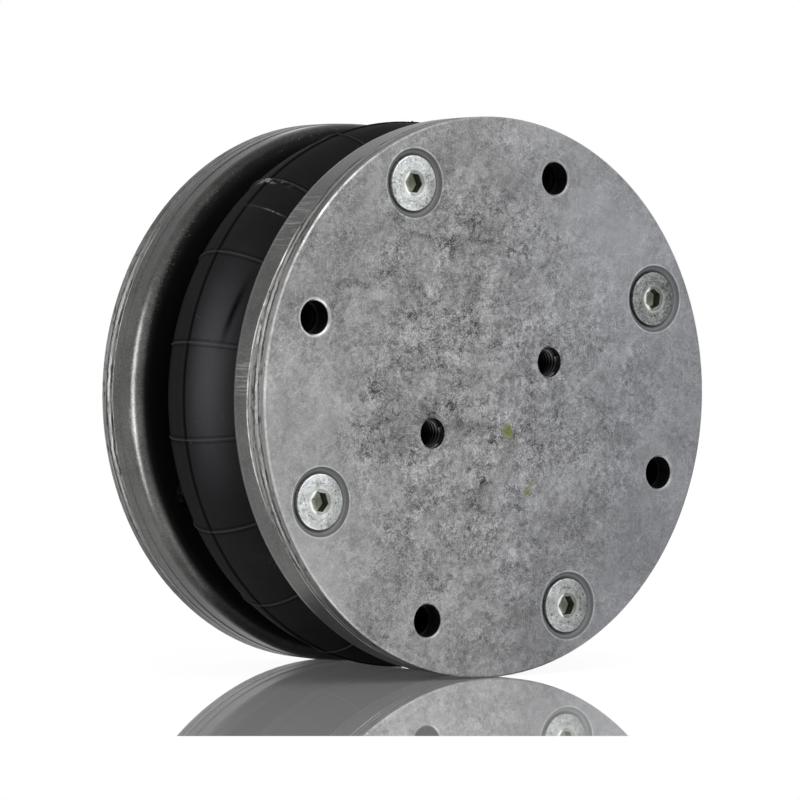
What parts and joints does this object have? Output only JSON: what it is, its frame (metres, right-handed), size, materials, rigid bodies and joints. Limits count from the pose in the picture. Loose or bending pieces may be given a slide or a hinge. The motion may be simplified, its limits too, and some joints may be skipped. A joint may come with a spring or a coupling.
{
  "type": "air bellows actuator",
  "caption": "Single-convolution rubber air bellows clamped between two round aluminium end plates by bead rings and countersunk screws, for short-stroke lifting and isolation.",
  "frame": {"origin": "centre of the base plate's outer face, the plate with the air port", "axes": "+Z is the stroke axis, from the base plate to the top plate; X runs through the two tapped holes of each plate"},
  "size_m": [0.152, 0.152, 0.0768],
  "materials": {
    "plate_aluminium": "mottled raw casting, faced and scratched",
    "ring_aluminium": "raw casting with a turned band beside the seam",
    "zinc_steel": "zinc plated",
    "bead_steel": "drawn wire",
    "liner_rubber": "matt",
    "cord": "rubberised cord",
    "cover_rubber": "satin, with mould ribs"
  },
  "bodies": {
    "base_end": {"base_plate": "plate_aluminium", "base_bead_ring": "ring_aluminium", "base_bead_wire": "bead_steel", "base_clamp_screw_1": "zinc_steel", "base_clamp_screw_2": "zinc_steel", "base_clamp_screw_3": "zinc_steel", "base_clamp_screw_4": "zinc_steel"},
    "bellows_foot": {"inner_liner": "liner_rubber"},
    "bellows_middle": {"inner_cord_ply": "cord"},
    "bellows_head": {"outer_cord_ply": "cord", "bellows_cover": "cover_rubber"},
    "top_end": {"top_plate": "plate_aluminium", "top_bead_ring": "ring_aluminium", "top_bead_wire": "bead_steel", "top_clamp_screw_1": "zinc_steel", "top_clamp_screw_2": "zinc_steel", "top_clamp_screw_3": "zinc_steel", "top_clamp_screw_4": "zinc_steel"}
  },
  "joints": [
    {"name": "lower_fold", "type": "slide", "parent": "base_end", "child": "bellows_foot", "axis": [0, 0, 1], "range_m": [-0.0109, 0.0076], "stiffness_N_per_m": 12000, "springref_m": 0.0008, "deforming": ["inner_liner", "inner_cord_ply", "outer_cord_ply", "bellows_cover"]},
    {"name": "tilt_x", "type": "hinge", "parent": "bellows_foot", "child": "bellows_middle", "pos_m": [0, 0, 0.0384], "axis": [1, 0, 0], "range_deg": [-3.5, 3.5], "stiffness_Nm_per_rad": 80, "deforming": ["inner_liner", "inner_cord_ply", "outer_cord_ply", "bellows_cover"]},
    {"name": "tilt_y", "type": "hinge", "parent": "bellows_middle", "child": "bellows_head", "pos_m": [0, 0, 0.0384], "axis": [0, 1, 0], "range_deg": [-3.5, 3.5], "stiffness_Nm_per_rad": 80, "deforming": ["inner_liner", "inner_cord_ply", "outer_cord_ply", "bellows_cover"]},
    {"name": "upper_fold", "type": "slide", "parent": "bellows_head", "child": "top_end", "axis": [0, 0, 1], "range_m": [-0.0109, 0.0076], "stiffness_N_per_m": 12000, "springref_m": 0.0008, "deforming": ["inner_liner", "inner_cord_ply", "outer_cord_ply", "bellows_cover"]}
  ],
  "couplings": [
    {"joint": "upper_fold", "follows": "lower_fold", "ratio": 1}
  ]
}
